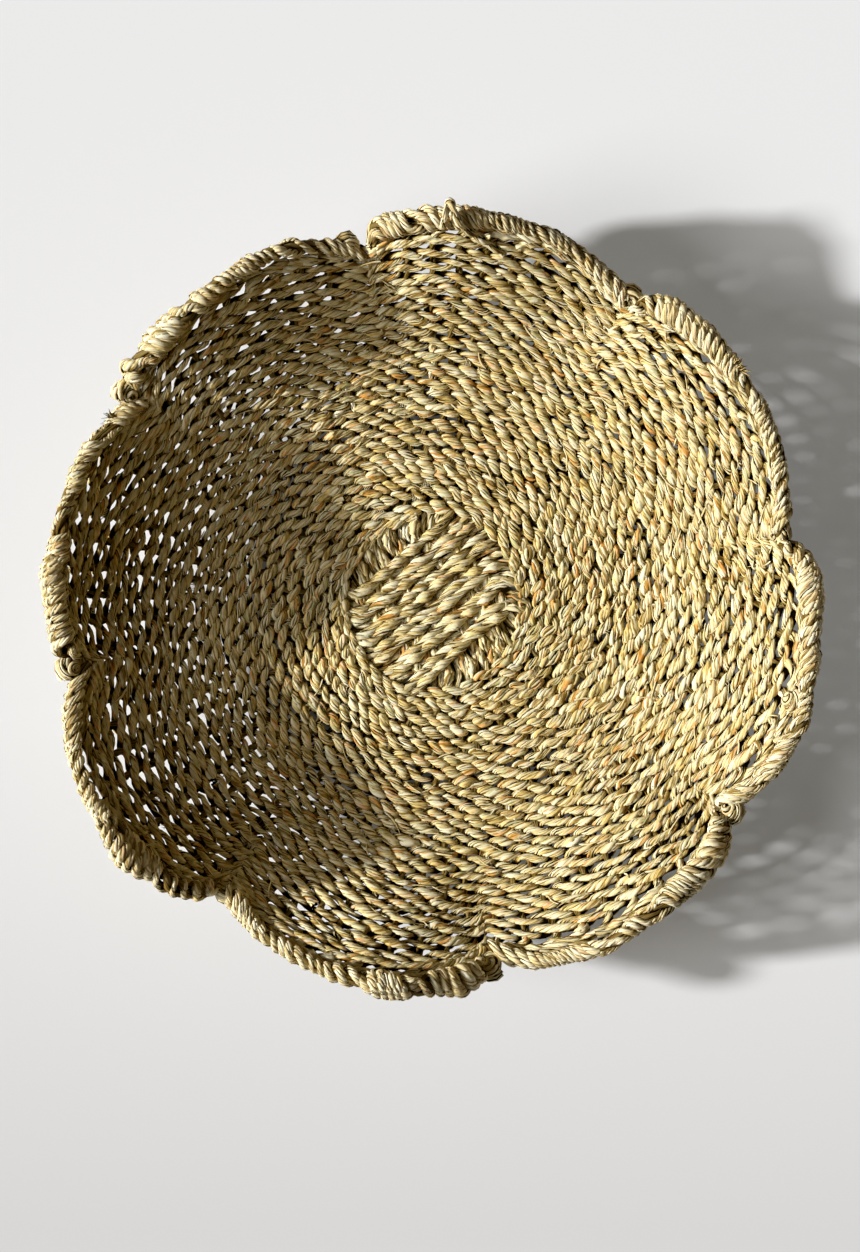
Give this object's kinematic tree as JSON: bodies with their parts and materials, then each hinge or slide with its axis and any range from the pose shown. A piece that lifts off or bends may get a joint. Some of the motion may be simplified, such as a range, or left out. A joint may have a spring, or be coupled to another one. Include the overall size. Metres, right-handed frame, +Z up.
{
  "type": "seagrass bowl",
  "caption": "Open twined seagrass bowl with a flat base, flared wall and a wrapped rim of shallow petals, to stand on a table or shelf.",
  "frame": {"origin": "on the floor, at the middle of the flat base", "axes": "+Z up, out of the bowl's mouth; +X and +Y across the mouth, with the first notch 11 degrees from +X towards +Y"},
  "size_m": [0.3838, 0.3895, 0.0823],
  "materials": {
    "stake_cord": "dry twisted seagrass, matt",
    "inner_weave": "dry twisted seagrass, matt",
    "outer_weave": "dry twisted seagrass, matt",
    "rim_wrap": "dry wrapped seagrass, matt"
  },
  "bodies": {
    "root": {"upper_stake_1": "stake_cord", "upper_stake_2": "stake_cord", "upper_stake_3": "stake_cord", "upper_stake_4": "stake_cord", "upper_stake_5": "stake_cord", "upper_stake_6": "stake_cord", "upper_stake_7": "stake_cord", "upper_stake_8": "stake_cord", "upper_stake_9": "stake_cord", "upper_stake_10": "stake_cord", "upper_stake_11": "stake_cord", "upper_stake_12": "stake_cord", "upper_stake_13": "stake_cord", "upper_stake_14": "stake_cord", "upper_stake_15": "stake_cord", "upper_stake_16": "stake_cord", "lower_stake_1": "stake_cord", "lower_stake_2": "stake_cord", "lower_stake_3": "stake_cord", "lower_stake_4": "stake_cord", "lower_stake_5": "stake_cord", "lower_stake_6": "stake_cord", "lower_stake_7": "stake_cord", "lower_stake_8": "stake_cord", "lower_stake_9": "stake_cord", "lower_stake_10": "stake_cord", "lower_stake_11": "stake_cord", "lower_stake_12": "stake_cord", "lower_stake_13": "stake_cord", "lower_stake_14": "stake_cord", "lower_stake_15": "stake_cord", "lower_stake_16": "stake_cord", "inner_weaver_1": "inner_weave", "inner_weaver_2": "inner_weave", "inner_weaver_3": "inner_weave", "inner_weaver_4": "inner_weave", "inner_weaver_5": "inner_weave", "inner_weaver_6": "inner_weave", "outer_weaver_1": "outer_weave", "outer_weaver_2": "outer_weave", "outer_weaver_3": "outer_weave", "outer_weaver_4": "outer_weave", "outer_weaver_5": "outer_weave", "outer_weaver_6": "outer_weave", "rim_roll_1": "rim_wrap", "rim_roll_2": "rim_wrap", "rim_roll_3": "rim_wrap", "rim_roll_4": "rim_wrap", "rim_roll_5": "rim_wrap", "rim_roll_6": "rim_wrap", "rim_roll_7": "rim_wrap", "rim_roll_8": "rim_wrap", "rim_knot_1": "rim_wrap", "rim_knot_2": "rim_wrap", "rim_knot_3": "rim_wrap", "rim_knot_4": "rim_wrap", "rim_knot_5": "rim_wrap", "rim_knot_6": "rim_wrap", "rim_knot_7": "rim_wrap", "rim_knot_8": "rim_wrap"}
  },
  "joints": []
}
